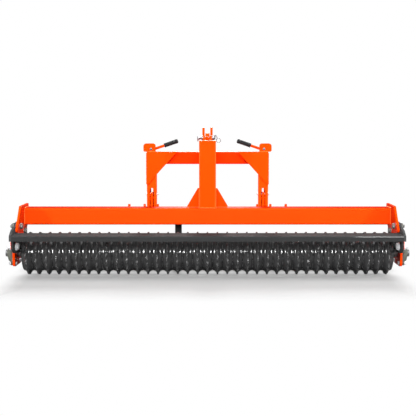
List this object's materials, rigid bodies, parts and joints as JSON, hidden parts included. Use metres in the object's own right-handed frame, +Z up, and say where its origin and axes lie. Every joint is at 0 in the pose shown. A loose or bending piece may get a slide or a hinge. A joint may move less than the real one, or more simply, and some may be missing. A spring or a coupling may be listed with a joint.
{
  "type": "three-point cultipacker",
  "caption": "Three-point cultipacker: a square beam with mast, quick hitch and parking stand carries one roller of ridged cast wheels in flange bearings.",
  "frame": {"origin": "on the floor under the middle of the machine's box", "axes": "+X across the working width, +Y forwards to the tractor, +Z up"},
  "size_m": [2.3562, 0.548, 0.857],
  "materials": {
    "orange_paint": "gloss powder coat",
    "dark_paint": "satin powder coat",
    "cast_wheels": "glossy black enamel on cast iron",
    "bare_steel": "turned",
    "zinc": "zinc plated",
    "bearing_housing": "olive-grey enamel",
    "grip": "matte"
  },
  "bodies": {
    "frame": {"main_beam": "orange_paint", "rear_bar": "dark_paint", "mast": "orange_paint", "mast_ears": "orange_paint", "top_pin": "zinc", "hitch_top_bar": "orange_paint", "hitch_top_hook": "orange_paint", "hitch_link_ears": "orange_paint", "stand_sleeve": "orange_paint", "stand_clamp_screw": "zinc", "lever_pivots": "zinc", "arm_bolts": "zinc", "hanger_bolts": "zinc", "bearing_bolts": "zinc", "end_arm_left": "orange_paint", "end_arm_right": "orange_paint", "end_plate_left": "dark_paint", "end_plate_right": "dark_paint", "bearing_hanger_left": "orange_paint", "bearing_hanger_right": "orange_paint", "flange_bearing_left": "bearing_housing", "flange_bearing_right": "bearing_housing", "mast_gusset_left": "orange_paint", "mast_gusset_right": "orange_paint", "lower_pin_left": "zinc", "lower_pin_right": "zinc", "hitch_upright_left": "orange_paint", "hitch_upright_right": "orange_paint", "hitch_hook_left": "orange_paint", "hitch_hook_right": "orange_paint", "hitch_corner_gusset_left": "orange_paint", "hitch_corner_gusset_right": "orange_paint", "hitch_stud_plate_left": "orange_paint", "hitch_stud_plate_right": "orange_paint", "hitch_link_stud_left": "zinc", "hitch_link_stud_right": "zinc", "lower_bracket_left": "orange_paint", "lower_bracket_right": "orange_paint", "lever_cheeks_left": "orange_paint", "lever_cheeks_right": "orange_paint"},
    "roller": {"packer_wheels": "cast_wheels", "axle": "bare_steel", "end_collars": "cast_wheels"},
    "stand": {"stand_leg": "dark_paint", "stand_foot": "dark_paint"},
    "left_lever": {"hitch_lever_left": "orange_paint", "lever_grip_left": "grip"},
    "right_lever": {"hitch_lever_right": "orange_paint", "lever_grip_right": "grip"}
  },
  "joints": [
    {"name": "roller_spin", "type": "hinge", "parent": "frame", "child": "roller", "pos_m": [0, -0.064, 0.124], "axis": [1, 0, 0], "continuous": true},
    {"name": "stand_slide", "type": "slide", "parent": "frame", "child": "stand", "axis": [0, 0, 1], "range_m": [0, 0.25]},
    {"name": "left_lever_hinge", "type": "hinge", "parent": "frame", "child": "left_lever", "pos_m": [-0.345, 0.187, 0.726], "axis": [0, -1, 0], "range_deg": [0, 65]},
    {"name": "right_lever_hinge", "type": "hinge", "parent": "frame", "child": "right_lever", "pos_m": [0.345, 0.187, 0.726], "axis": [0, 1, 0], "range_deg": [0, 65]}
  ]
}
